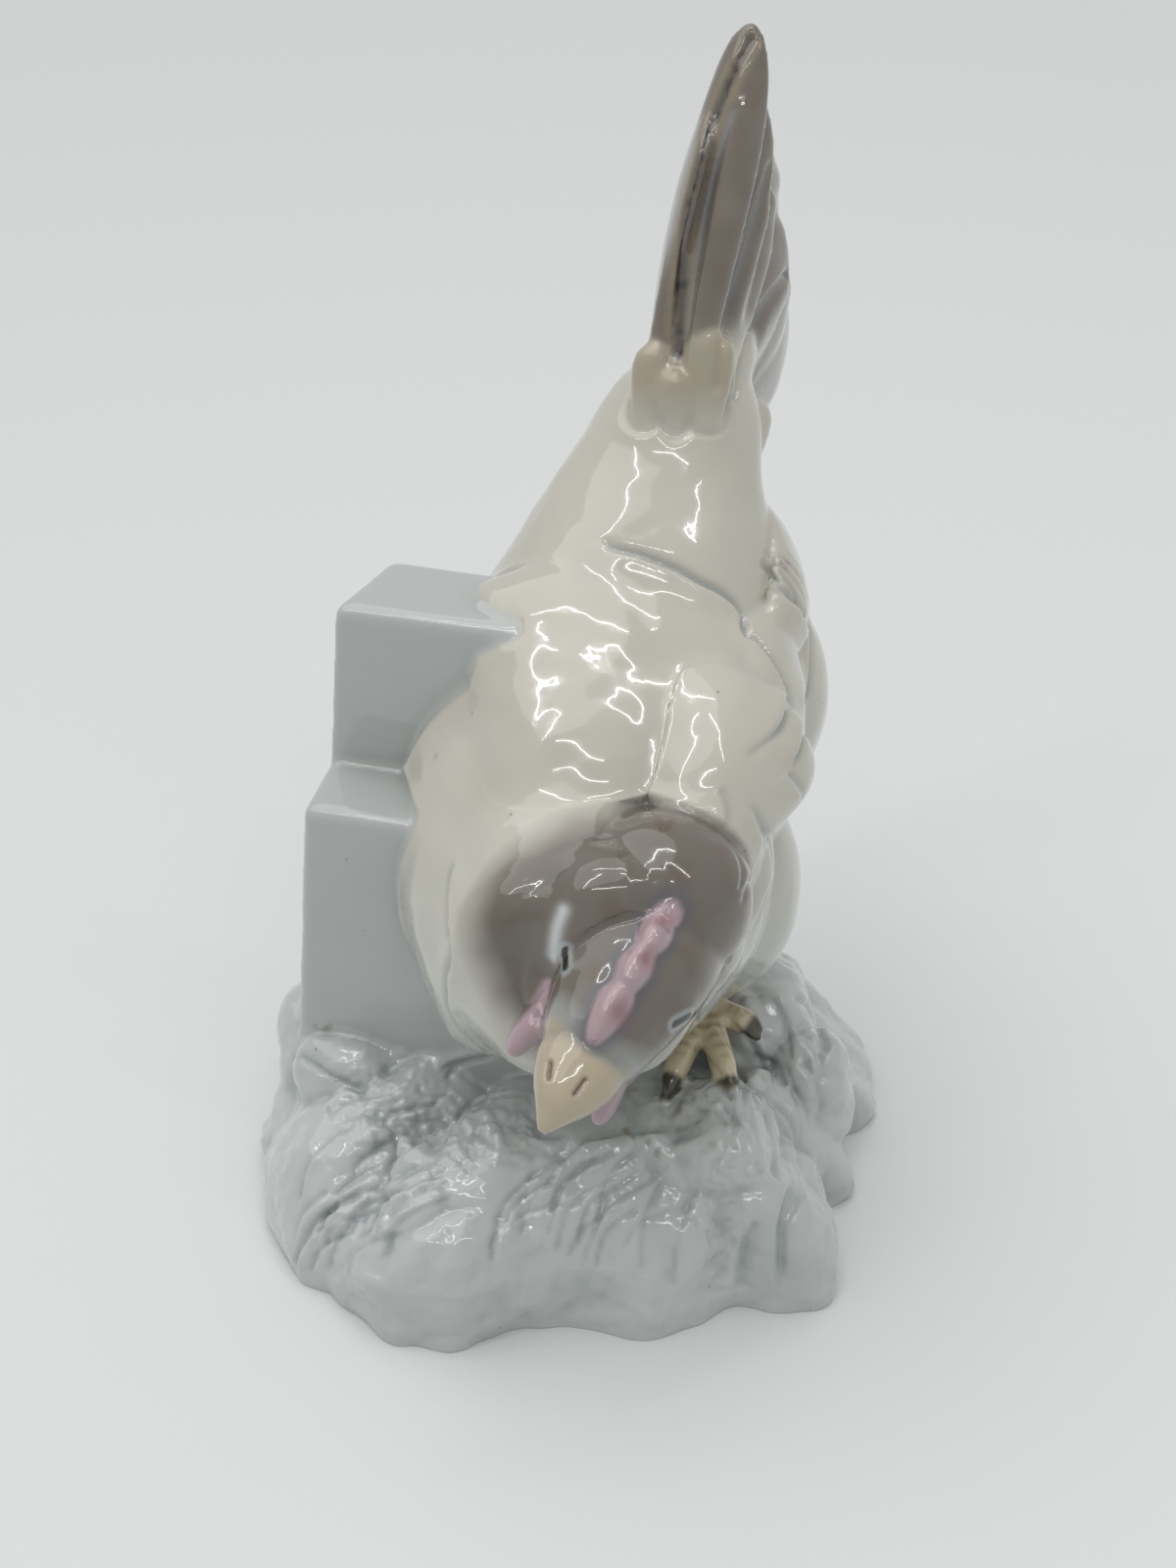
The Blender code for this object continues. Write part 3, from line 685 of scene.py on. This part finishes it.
strokes(26, (296, 400), (1215, 1320), 58, 58, 0.9, 2.2, 0.9)  # blades of grass at the left
strokes(12, (330, 480), (1090, 1150), 60, 22, 0.8, 1.8, 0.9)  # tufts before the wall
strokes(16, (500, 640), (1240, 1300), 70, 80, 0.8, 2.5, 1.0)  # folds that fan from the crest
strokes(18, (740, 830), (1110, 1215), -44, 90, 0.7, 1.8, 0.8)  # streaks below the foot
strokes(5, (640, 810), (1290, 1330), 22, 90, 0.9, 6.0, 2.6)  # facets of the front
strokes(6, (790, 850), (1060, 1190), -30, 60, 1.0, 3.0, 1.4)  # boulders at the right
hollow_lines = np.maximum(hollow_lines, lap(((302, 1078), (330, 1096), (378, 1123)), 1, 1.0))
# counts the points darkened for pooled glaze and painted crease shade
print("glaze pools at", int((hollow_lines > 0.3).sum()), "points of the rock")

# %% [markdown]
# Feather edges on the body: the cape's scalloped rear edge, the coverts, small lobes beside
# the neck, and the thin stacked lines at the wing's edge.

# %% Working the body
KNEADING = 150  # smoothing passes that melt lofts and balls into one body
BODY_SWELL = 1.0  # mm, makes up for what the kneading takes away
CAPE = ((614, 552), (622, 563), (654, 571), (689, 584), (713, 598), (734, 609), (750, 625),
        (757, 649), (770, 654), (783, 669), (796, 694), (799, 714), (798, 731), (789, 747),
        (756, 772))
COVERT = ((773, 576), (789, 593), (806, 611), (819, 631), (824, 653), (823, 689), (818, 719),
          (818, 747), (813, 769), (804, 784))
LIP = ((468, 880), (462, 911), (462, 973), (461, 1005), (469, 1042), (480, 1059), (501, 1078),
       (521, 1090))
kneaded = share("hen_body", 1.5) * (1 - 0.7 * np.clip((start[:, 0] - 28) / 6, 0, 1))
round_body = np.stack([even(points[:, axis], KNEADING) for axis in range(3)], axis=1)
points += (round_body - points + normals * BODY_SWELL) * kneaded[:, None]
for edge, over, depth in (
    (CAPE, 1, 1.3), (COVERT, 1, 1.2), (LIP, -1, 1.2),
    (((763, 821), (774, 842), (776, 859), (771, 882), (761, 903), (755, 923)), 1, 0.6),
    (((773, 842), (782, 859), (787, 879), (786, 902), (767, 944), (756, 959)), 1, 0.6),
    (((734, 848), (748, 867), (754, 884), (754, 898), (751, 909)), 1, 0.6),
    (((732, 804), (738, 827), (734, 846)), 1, 0.4),
    (((788, 602), (813, 621)), 1, 0.6), (((801, 700), (804, 726)), 1, 0.6),
    (((802, 789), (815, 806), (820, 827), (828, 869), (815, 909), (793, 959)), 1, 0.7),
):
    hollow_lines = np.maximum(hollow_lines, lap(edge, over, depth) * 0.7)
press(lay(((552, 900), (528, 955), (528, 1015), (542, 1065))), 6.0, 3.6, kneaded)
WING_EDGE = ((782, 566), (800, 590), (812, 612), (816, 640))
for k in range(4):
    line = [(u + 6 * k, v - k) for u, v in WING_EDGE]
    ink_lines = np.maximum(ink_lines, lap(line, 1, 0.7, 1.5, 0.6) * 0.8)
swell = clouds(11.0, 6) * 0.55 + clouds(5.5, 8) * 0.18
points += normals * (kneaded * swell)[:, None]

# %% [markdown]
# Tail: the slot between the ridge feathers, the edges where one feather laps the next, and a
# soft ridge beside each edge, the quill side of the feather that lies on top.

# %% Working the tail
SLOT = ((766, 40), (746, 77), (725, 129), (710, 184), (700, 230), (691, 361))
ink_lines = np.maximum(ink_lines, press(lay(SLOT), 1.0, 1.0))
feather_edges = np.zeros(count)
for edge in (((746, 113), (726, 190), (710, 270), (700, 343)),
             ((786, 171), (755, 275), (740, 321), (731, 395)),
             ((803, 280), (775, 320), (755, 367), (743, 407))):
    feather_edges = np.maximum(feather_edges, press(lay(edge), 0.9, 0.9))
    press(lay([(u + 10, v + 2) for u, v in edge]), 2.6, -0.5)

# %% [markdown]
# Head: hollows in the comb, low bulges for the eyes, nostrils, and rings across
# the toes for scales, pressed in just as a modeller would with a loop tool.

# %% Working head and feet
comb_pits = np.zeros(count)
for spot, width in (((679, 939), 1.7), ((661, 979), 1.7), ((634, 1034), 2.2)):
    comb_pits = np.maximum(comb_pits, press(lay((spot,)), width, 0.8))
eyes, eye_rims = np.zeros(count), np.zeros(count)
for eye in (((579, 968), (579, 988)), ((687, 1044), (701, 1036))):
    line = lay(eye)
    press(line, 2.2, -0.5)
    eyes = np.maximum(eyes, np.clip((0.9 - away(line, 4)) / 0.3, 0, 1))
    eye_rims = np.maximum(eye_rims, np.clip(1 - (away(line, 5) - 1.2) / 0.8, 0, 1))
slits = np.zeros(count)
for slit in (((561, 1085), (559, 1100)), ((597, 1102), (587, 1116))):
    slits = np.maximum(slits, press(lay(slit), 0.5, 0.5))
# a low ridge on the head's left edge, which carries a painted highlight
painted_highlight = press(lay(((565, 976), (567, 952), (574, 930))), 1.2, -0.2)
scales, claws = np.zeros(count), np.zeros(count)
for root, way in toes:
    across = way.normalized().cross(Vector((0, 0, 1))) * 3.0
    for part in (0.2, 0.32, 0.44, 0.56, 0.68):
        top = root + way * part + Vector((0, 0, 2.6))
        scales = np.maximum(scales, press([top - across, top, top + across], 0.7, 0.35))
    tip = away([root + way * 0.97 - Vector((0, 0, 2.0))], 8)
    claws = np.maximum(claws, np.clip(1 - (tip - 3.5) / 1.0, 0, 1))

# %% [markdown]
# Underglaze colours are brushed on the dry body, so they are soft where the brush was wet and
# gather in hollows. Where hollows, creases and lapped edges are darkened below, that is also
# painted shade. Each colour here is one brush stroke over all points: a colour and how
# much of it each point takes. Hex values are sRGB, as a picture editor shows them; light adds
# up in linear values, so one function converts them.

# %% Brush
def srgb(code):
    """A hex colour as linear red, green, blue, alpha."""
    parts = [int(code[i:i + 2], 16) / 255 for i in (1, 3, 5)]
    return (*(c / 12.92 if c <= 0.04045 else ((c + 0.055) / 1.055) ** 2.4 for c in parts), 1)


points[:, 2] = np.maximum(points[:, 2], 0)  # the foot stays flat
colours = np.tile(srgb("#B8B5A9")[:3], (count, 1))


def brush(amount, code):
    """Lays one colour over the points, by an amount from 0 to 1."""
    global colours
    cover = np.clip(amount, 0, 1)[:, None]
    colours = colours * (1 - cover) + np.array(srgb(code)[:3]) * cover


SETTLING = 40  # smoothing passes that show where a hollow lies
settled = np.stack([even(points[:, axis], SETTLING) for axis in range(3)], axis=1)
# how deep each point lies in a hollow; the brushes that use it paint pooled glaze together with
# painted shade
hollow = np.clip(((settled - points) * normals).sum(1) / 0.6, 0, 1)
broad, small = clouds(16.0, 1), clouds(5.0, 2)
along_head = (start - np.array(HEAD_CENTRE)) @ np.array(HEAD_FORWARD)
print("hollow points:", int((hollow > 0.5).sum()))

# %% Painting rock, wall and body
brush(0.5 + broad * 0.8, "#C1BEB3")
brush(np.clip(1 - (start[:, 2] - 60) / 40, 0, 1) * 0.6, "#B0B3AE")
brush(stony, "#B3B7B6")
brush(stony * (0.35 + broad * 0.7), "#BEC1C0")
# painted shade and pooled glaze: the rock's hollows turn blue-grey
brush(stony * hollow * 0.7, "#96A0A1")
brush(stony * np.clip(small - 0.1, 0, 1) * 0.45, "#A5AEAF")
brush(share("wall", 0.8), "#AEB1B0")
# painted shade and pooled glaze in the hollows of everything but the rock
brush(hollow * 0.5 * (1 - stony), "#98A09C")
# painted crease shade and pooled glaze along lapped edges and strokes
brush(hollow_lines * 0.75, "#909A99")
crumbs = np.clip(clouds(1.9, 4) * 2.2 - 0.2, 0, 1)
# brown specks round a few spots, broken up by crumb-sized grains
brown_specks = np.zeros(count)
for spot, reach in (((762, 1014), 7), ((700, 1140), 9), ((668, 1168), 8), ((735, 1152), 7),
                    ((330, 1048), 3), ((455, 765), 3), ((640, 1150), 7)):
    brown_specks = np.maximum(brown_specks, np.clip(1 - away(lay((spot,)), reach + 1) / reach, 0, 1))
brush(brown_specks * crumbs * 0.8, "#6E664F")

# %% Painting head, tail and feet
middle_of_brown = np.array(lay(((612, 962),))[0])
from_middle = np.linalg.norm(start - middle_of_brown, axis=1) + broad * 2.0
brown = np.maximum(np.clip((28 - from_middle) / 9, 0, 1), share("hen_head", 1.5))
brown = brown * (1 - stony) * (1 - share("feet", 0.8)) * np.clip((start[:, 2] - 45) / 4, 0, 1)
brush(brown * 0.95, "#5F574F")
brush(brown * np.clip(small, 0, 1) * 0.7, "#5B4C3D")
# painted shade and pooled glaze: darker brown in the hollows of the hood
brush(brown * hollow * 0.5, "#4E4842")
face = np.maximum(share("hen_head", 1.0), share("beak", 1.0))
across_head = (start - np.array(HEAD_CENTRE)) @ np.array(HEAD_LEFT)
limit = 11.5 + 4.0 * np.clip(1 - (across_head / 9) ** 2, 0, 1)  # the crown ends in a point
brush(face * np.clip((along_head - limit + 3.5) / 3, 0, 1) * 0.7, "#989D9C")
brush(face * np.clip((along_head - limit) / 1.6, 0, 1), "#ABA08A")
brush(np.clip(1 - gaps["comb"] / 2.8, 0, 1) * 0.85, "#50535C")
brush(share("comb", 0.5), "#A58F96")
brush(share("wattles", 0.6), "#A18A92")
brush(comb_pits * 0.7, "#85525F")
brush(eye_rims * 0.6, "#A3ACAE")
# painted highlight: a pale streak down the head's left edge
brush(painted_highlight * 0.9, "#C2C7C7")
brush(slits, "#5A4530")
brush(eyes, "#0C0C0D")
rising = np.clip((start[:, 2] - 143) / 10, 0, 1)
plumes = share("tail", 1.2) * np.maximum(
    np.clip((start[:, 2] + start[:, 1] * 0.35 - 154) / 9, 0, 1),
    np.clip((start[:, 1] - 54) / 8, 0, 1))
brush(plumes, "#6A6158")
brush(plumes * (0.3 + small * 0.8), "#776F66")
brush(plumes * feather_edges * 0.6, "#8B9092")
for sideways in (-9, 9):  # the ridge feathers beside the slot have ochre edges
    ridge = away(lay([(u + sideways, v + 3) for u, v in SLOT]), 3)
    brush(plumes * np.clip(1 - ridge / 1.4, 0, 1) * 0.6, "#94876F")
brush(share("coverts", 0.8) * rising, "#A39A87")
brush(ink_lines * (0.55 + 0.9 * crumbs), "#37332E")
feet = share("feet", 0.6) * np.clip((44 - start[:, 2]) / 3, 0, 1)
brush(feet, "#BFB496")
brush(feet * scales * 0.6, "#83704C")
brush(claws * feet, "#3A372B")
print("painted", count, "points")

# %% [markdown]
# The casting goes back to Blender as six pieces, cut where the parts of the figure meet, so
# that no piece is too heavy. Each keeps the surface directions of the whole skin, or the cuts
# would show as creases in the glaze.

# %% Back to meshes
casting.vertices.foreach_set("co", (points * MM).astype(np.float32).ravel())
casting.update()
directions = column(casting.vertex_normals, "vector", 3)
mine = casting.attributes.new("spot", "INT", "POINT")
mine.data.foreach_set("value", np.arange(count, dtype=np.int32))
pigment = casting.attributes.new("pigment", "FLOAT_COLOR", "POINT")
pigment.data.foreach_set("color", np.hstack([colours, np.ones((count, 1))]).ravel())
homes = {"beak": "hen_head", "comb": "hen_head", "wattles": "hen_head", "coverts": "tail"}
piece_of = [homes.get(name, name) for name in names]
worked = bmesh.new()
worked.from_mesh(casting)
worked.verts.ensure_lookup_table()
home_of_face = [piece_of[owner[face.verts[0].index]] for face in worked.faces]
pieces = []
for name in dict.fromkeys(piece_of):
    cut = worked.copy()
    cut.faces.ensure_lookup_table()
    bmesh.ops.delete(cut, geom=[face for face, home in zip(cut.faces, home_of_face)
                                if home != name], context="FACES")
    mesh = bpy.data.meshes.new(name)
    cut.to_mesh(mesh)
    cut.free()
    mesh.polygons.foreach_set("use_smooth", [True] * len(mesh.polygons))
    spots = column(mesh.attributes["spot"].data, "value", 1).astype(int).ravel()
    mesh.normals_split_custom_set_from_vertices(directions[spots].tolist())
    piece = bpy.data.objects.new(name, mesh)
    scene.collection.objects.link(piece)
    pieces.append(piece)
    print(name, sum(len(face.vertices) - 2 for face in mesh.polygons), "triangles")

# %% [markdown]
# All pieces were sketched round the camera's frame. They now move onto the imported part: the
# middle of their outline goes to the middle of its box, and the camera goes with them.

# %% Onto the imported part
low, high = points.min(0), points.max(0)
cad_low, cad_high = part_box("hen_figurine")
shift = Vector((
    (cad_low.x + cad_high.x) / 2 - (low[0] + high[0]) / 2 * MM,
    (cad_low.y + cad_high.y) / 2 - (low[1] + high[1]) / 2 * MM,
    cad_low.z,
))
for piece in pieces:
    piece.data.transform(Matrix.Translation(shift))
camera.location += shift
print("forms", (high - low).round(1), "mm, moved by", shift)


# %% [markdown]
# Glazed porcelain is a white fired body, pigment brushed on it, and clear glass over both. To
# the eye that is a soft uneven colour under a sharp reflection. The glass has an IOR of about
# 1.5 and is nearly smooth, with a slight ripple. A layered shader could trace the glass
# itself, but a coat over the painted base looks the same and is faster.

# %% Glazed porcelain
def add(tree, kind, settings, inputs):
    """Adds a node with its settings, and values or links on its inputs."""
    node = tree.nodes.new(kind)
    for name, value in settings.items():
        setattr(node, name, value)
    for name, value in inputs.items():
        if isinstance(value, bpy.types.NodeSocket):
            tree.links.new(value, node.inputs[name])
        else:
            node.inputs[name].default_value = value
    return node


glaze = bpy.data.materials.new("underglaze porcelain under clear glaze")
glaze.use_nodes = True
tree = glaze.node_tree
gloss = tree.nodes["Principled BSDF"]
place = add(tree, "ShaderNodeTexCoord", {}, {}).outputs["Object"]
painted = add(tree, "ShaderNodeVertexColor", {"layer_name": "pigment"}, {}).outputs["Color"]
specks = add(tree, "ShaderNodeTexVoronoi", {}, {
    "Vector": place, "Scale": 1 / (9.0 * MM)})  # an iron speck every 9 mm or so
dark = add(tree, "ShaderNodeMapRange", {}, {
    "Value": specks.outputs["Distance"], "From Min": 0.015, "From Max": 0.035,
    "To Min": 0.7, "To Max": 0.0})
colour = add(tree, "ShaderNodeMix", {"data_type": "RGBA"}, {
    0: dark.outputs["Result"], 6: painted, 7: srgb("#5A5348")}).outputs[2]
tree.links.new(colour, gloss.inputs["Base Color"])
gloss.inputs["IOR"].default_value = 1.5
gloss.inputs["Roughness"].default_value = 0.12
gloss.inputs["Coat Weight"].default_value = 0.8
gloss.inputs["Coat Roughness"].default_value = 0.02
ripple = add(tree, "ShaderNodeTexNoise", {}, {
    "Vector": place, "Scale": 1 / (6.0 * MM), "Detail": 1.5})  # waves 6 mm apart
bump = add(tree, "ShaderNodeBump", {}, {
    "Height": ripple.outputs["Fac"], "Strength": 0.25, "Distance": 0.5 * MM})
for socket in ("Normal", "Coat Normal"):
    tree.links.new(bump.outputs["Normal"], gloss.inputs[socket])

for piece in pieces:
    piece.data.materials.append(glaze)
    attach(piece, "root")
    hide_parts("hen_figurine")

# %% [markdown]
# Where the piece stands, the glaze was wiped off before firing so that it wouldn't stick to
# the kiln shelf. That leaves bare bisque: matt, dry and a little warmer than the glaze.

# %% Bare bisque
bisque = bpy.data.materials.new("unglazed bisque porcelain")
bisque.use_nodes = True
dry = bisque.node_tree.nodes["Principled BSDF"]
dry.inputs["Base Color"].default_value = srgb("#CBC6BA")
dry.inputs["Roughness"].default_value = 0.85
rock_piece = pieces[0]
rock_piece.data.materials.append(bisque)
bare = [face for face in rock_piece.data.polygons
        if max(rock_piece.data.vertices[i].co.z for i in face.vertices) < cad_low.z + 0.3 * MM]
for face in bare:
    face.material_index = 1
print("bare faces", len(bare))

# %% [markdown]
# The setting is a plain sheet of pale paper under soft, even light. A light tent also has a
# square of thin lamps round its roof opening: on glaze that square draws thin wavy loops.

# %% Floor and light
floor_mesh = bpy.data.meshes.new("floor")
sheet = bmesh.new()
bmesh.ops.create_grid(sheet, x_segments=1, y_segments=1, size=3.0)
sheet.to_mesh(floor_mesh)
floor = bpy.data.objects.new("floor", floor_mesh)
scene.collection.objects.link(floor)
paper = bpy.data.materials.new("matt backdrop paper")
paper.use_nodes = True
matt = paper.node_tree.nodes["Principled BSDF"]
matt.inputs["Base Color"].default_value = srgb("#D8DBDB")
matt.inputs["Roughness"].default_value = 0.9
floor_mesh.materials.append(paper)

world = bpy.data.worlds.new("studio")
scene.world = world
world.use_nodes = True
haze = world.node_tree.nodes["Background"]
haze.inputs["Color"].default_value = srgb("#F4F4F2")
haze.inputs["Strength"].default_value = 0.64


def lamp(name, place, size, power, target=(0, 0, 0.09)):
    """A soft rectangular lamp that looks at the hen."""
    light = bpy.data.lights.new(name, "AREA")
    light.shape = "RECTANGLE"
    light.size, light.size_y = size
    light.energy = power
    holder = bpy.data.objects.new(name, light)
    holder.location = place
    holder.rotation_euler = (Vector(target) - holder.location).to_track_quat("-Z", "Y").to_euler()
    scene.collection.objects.link(holder)


BAR_POWER = 0.4  # watts
lamp("front bar", (0.0, -0.42, 0.72), (0.5, 0.01), BAR_POWER)
lamp("rear bar", (0.0, 0.1, 0.86), (0.5, 0.01), BAR_POWER)
lamp("left bar", (-0.27, -0.16, 0.8), (0.01, 0.5), BAR_POWER)
lamp("right bar", (0.27, -0.16, 0.8), (0.01, 0.5), BAR_POWER)
sky = bpy.data.lights.new("tent roof", "SUN")
sky.energy = 0.9
sky.angle = math.radians(70)  # as wide as a cloth roof, so shadows stay soft
roof = bpy.data.objects.new("tent roof", sky)
roof.rotation_euler = (math.radians(-12), math.radians(-18), 0)
scene.collection.objects.link(roof)
